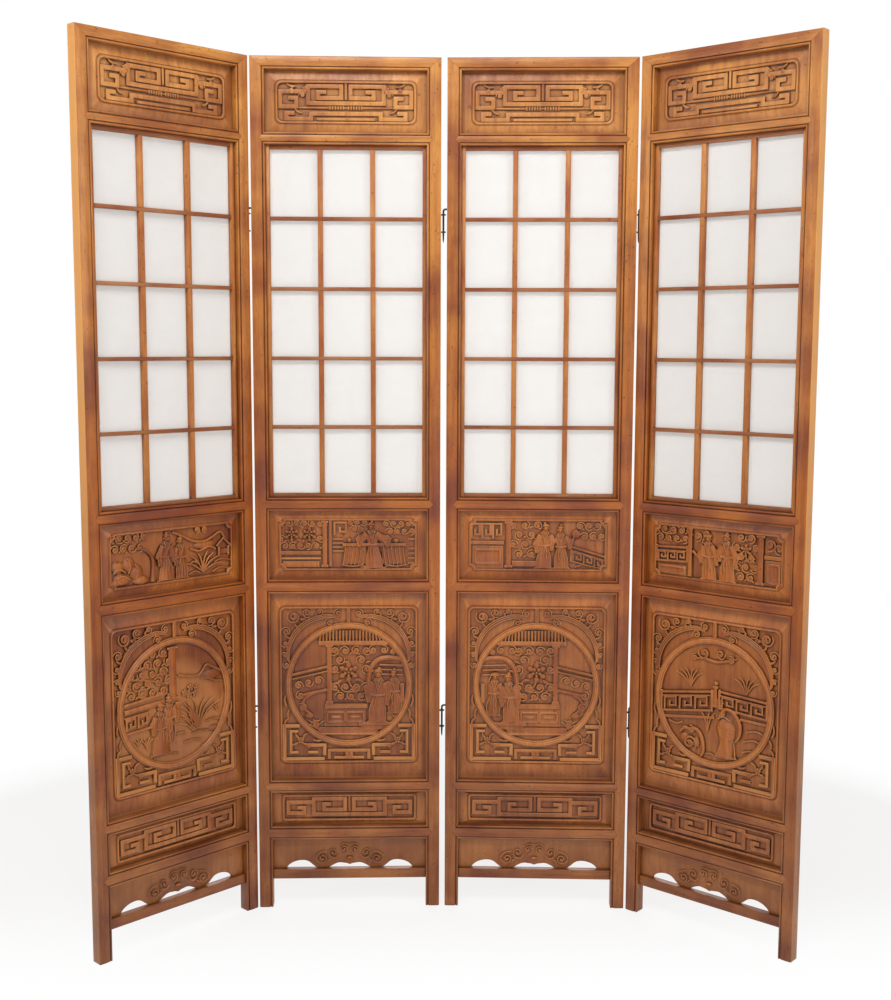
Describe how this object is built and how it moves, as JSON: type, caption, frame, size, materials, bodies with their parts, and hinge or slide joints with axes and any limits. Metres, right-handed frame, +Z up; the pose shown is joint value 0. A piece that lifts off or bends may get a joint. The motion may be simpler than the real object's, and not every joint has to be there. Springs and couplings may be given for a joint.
{
  "type": "folding screen",
  "caption": "Folding screen of hinged wooden panels with carved boards, papered lattice windows, arched aprons and iron lift-off hinges.",
  "frame": {"origin": "middle of the screen's box at floor level, with the panels as they stand in the picture", "axes": "+Z up, +Y away from a viewer who faces the carved side, +X to that viewer's right; the second panel's face is square to Y"},
  "size_m": [1.6364, 0.3702, 2.1],
  "materials": {
    "wood": "waxed and stained softwood, semi-gloss",
    "paper": "matt white window paper",
    "iron": "dark forged iron"
  },
  "bodies": {
    "panel_1": {"panel_1_stile_left": "wood", "panel_1_stile_right": "wood", "panel_1_top_rail": "wood", "panel_1_head_rail": "wood", "panel_1_waist_unit": "wood", "panel_1_low_rail": "wood", "panel_1_apron_rail": "wood", "panel_1_top_board": "wood", "panel_1_medallion_board": "wood", "panel_1_low_board": "wood", "panel_1_apron_unit": "wood", "panel_1_lattice": "wood", "panel_1_paper": "paper"},
    "panel_2": {"panel_2_stile_left": "wood", "panel_2_stile_right": "wood", "panel_2_top_rail": "wood", "panel_2_head_rail": "wood", "panel_2_waist_unit": "wood", "panel_2_low_rail": "wood", "panel_2_apron_rail": "wood", "panel_2_top_board": "wood", "panel_2_medallion_board": "wood", "panel_2_low_board": "wood", "panel_2_apron_unit": "wood", "panel_2_lattice": "wood", "panel_2_paper": "paper", "hook_1_2_upper": "iron", "hook_1_2_lower": "iron"},
    "panel_3": {"panel_3_stile_left": "wood", "panel_3_stile_right": "wood", "panel_3_top_rail": "wood", "panel_3_head_rail": "wood", "panel_3_waist_unit": "wood", "panel_3_low_rail": "wood", "panel_3_apron_rail": "wood", "panel_3_top_board": "wood", "panel_3_medallion_board": "wood", "panel_3_low_board": "wood", "panel_3_apron_unit": "wood", "panel_3_lattice": "wood", "panel_3_paper": "paper", "hook_2_3_upper": "iron", "hook_2_3_lower": "iron"},
    "panel_4": {"panel_4_stile_left": "wood", "panel_4_stile_right": "wood", "panel_4_top_rail": "wood", "panel_4_head_rail": "wood", "panel_4_waist_unit": "wood", "panel_4_low_rail": "wood", "panel_4_apron_rail": "wood", "panel_4_top_board": "wood", "panel_4_medallion_board": "wood", "panel_4_low_board": "wood", "panel_4_apron_unit": "wood", "panel_4_lattice": "wood", "panel_4_paper": "paper", "hook_3_4_upper": "iron", "hook_3_4_lower": "iron"}
  },
  "joints": [
    {"name": "hinge_1_2", "type": "hinge", "parent": "panel_2", "child": "panel_1", "pos_m": [-0.47241, 0.17007, 0], "axis": [0, 0, 1], "range_deg": [-98.3, 11.7]},
    {"name": "hinge_2_3", "type": "hinge", "parent": "panel_2", "child": "panel_3", "pos_m": [-0.00241, 0.17007, 0], "axis": [0, 0, 1], "range_deg": [-51.1, 58.9]},
    {"name": "hinge_3_4", "type": "hinge", "parent": "panel_3", "child": "panel_4", "pos_m": [0.4665, 0.1381, 0], "axis": [0, 0, 1], "range_deg": [-16.3, 93.7]}
  ]
}
